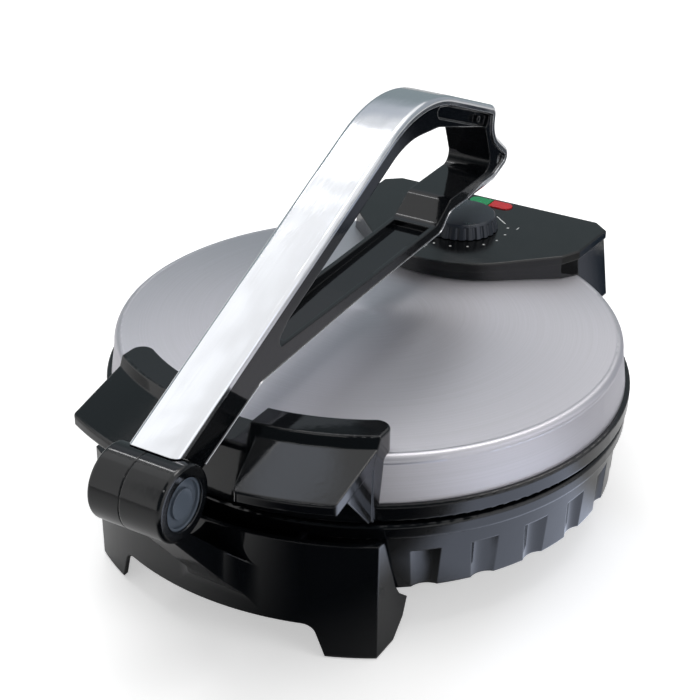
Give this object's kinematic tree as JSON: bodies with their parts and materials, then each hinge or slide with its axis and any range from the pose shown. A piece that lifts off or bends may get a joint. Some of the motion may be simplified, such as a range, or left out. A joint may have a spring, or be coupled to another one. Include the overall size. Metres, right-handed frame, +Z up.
{
  "type": "electric roti maker",
  "caption": "Round electric flatbread press with hinged steel lid, black base on feet, long arched press lever and rear control panel with knob and lamps.",
  "frame": {"origin": "middle of the appliance's bounding box at table level, lid closed and lever down", "axes": "+Z up; -Y the front, where the lever's pivot is; +Y the control panel and lid hinge; X along both hinge axes"},
  "size_m": [0.2956, 0.388, 0.2285],
  "materials": {
    "black_gloss": "high gloss black moulding",
    "panel_plastic": "satin black panel",
    "knob_plastic": "fine satin black",
    "cap_plastic": "dark grey satin",
    "lid_steel": "circularly brushed stainless sheet",
    "bright_strip": "bright polished sheet",
    "fastener_steel": "zinc plated",
    "bush_brass": "turned",
    "painted_sheet": "black enamel on sheet steel",
    "plate_coating": "cast aluminium, dark non-stick coat",
    "element_sheath": "heat-darkened sheath",
    "shield_sheet": "aluminised sheet",
    "cast_alloy": "as cast",
    "white_moulding": "heat-resistant moulding",
    "green_lens": "translucent green",
    "red_lens": "translucent red",
    "black_rubber": "matte"
  },
  "bodies": {
    "base": {"base_housing": "black_gloss", "bottom_cover": "painted_sheet", "cover_screws": "fastener_steel", "lower_plate": "plate_coating", "lower_element": "element_sheath", "lower_shield": "shield_sheet", "lower_plate_screws": "fastener_steel", "front_apron": "black_gloss", "apron_screws": "fastener_steel", "pivot_end_cap": "cap_plastic", "pivot_pin": "fastener_steel", "rear_stand": "black_gloss", "stand_screws": "fastener_steel", "hinge_pins": "fastener_steel", "cord_gland": "black_rubber", "front_foot_pads": "black_rubber", "rear_foot_pads": "black_rubber", "terminal_block": "white_moulding", "thermal_fuse": "white_moulding"},
    "lid": {"lid_cover": "lid_steel", "lid_ring": "black_gloss", "upper_plate": "plate_coating", "upper_element": "element_sheath", "upper_shield": "shield_sheet", "upper_plate_screws": "fastener_steel", "lid_bracket": "black_gloss", "bracket_screws": "fastener_steel", "control_housing": "black_gloss", "control_panel": "panel_plastic", "green_lens": "green_lens", "red_lens": "red_lens", "lamp_holders": "white_moulding", "left_hinge_arm": "cast_alloy", "right_hinge_arm": "cast_alloy", "hinge_arm_screws": "fastener_steel", "thermostat": "white_moulding"},
    "lever": {"lever_arm": "black_gloss", "lever_strip": "bright_strip", "lever_bush": "bush_brass", "lever_screw": "fastener_steel"},
    "knob": {"knob": "knob_plastic", "thermostat_shaft": "fastener_steel"}
  },
  "joints": [
    {"name": "lid_hinge", "type": "hinge", "parent": "base", "child": "lid", "pos_m": [0, 0.18195, 0.07], "axis": [-1, 0, 0], "range_deg": [0, 70]},
    {"name": "lever_pivot", "type": "hinge", "parent": "base", "child": "lever", "pos_m": [0, -0.17475, 0.108], "axis": [1, 0, 0], "range_deg": [0, 161.5]},
    {"name": "thermostat_turn", "type": "hinge", "parent": "lid", "child": "knob", "pos_m": [0, 0.14045, 0.1229], "axis": [0, 0, 1], "range_deg": [0, 270]}
  ],
  "couplings": [
    {"joint": "lever_pivot", "follows": "lid_hinge", "ratio": 2.3}
  ]
}
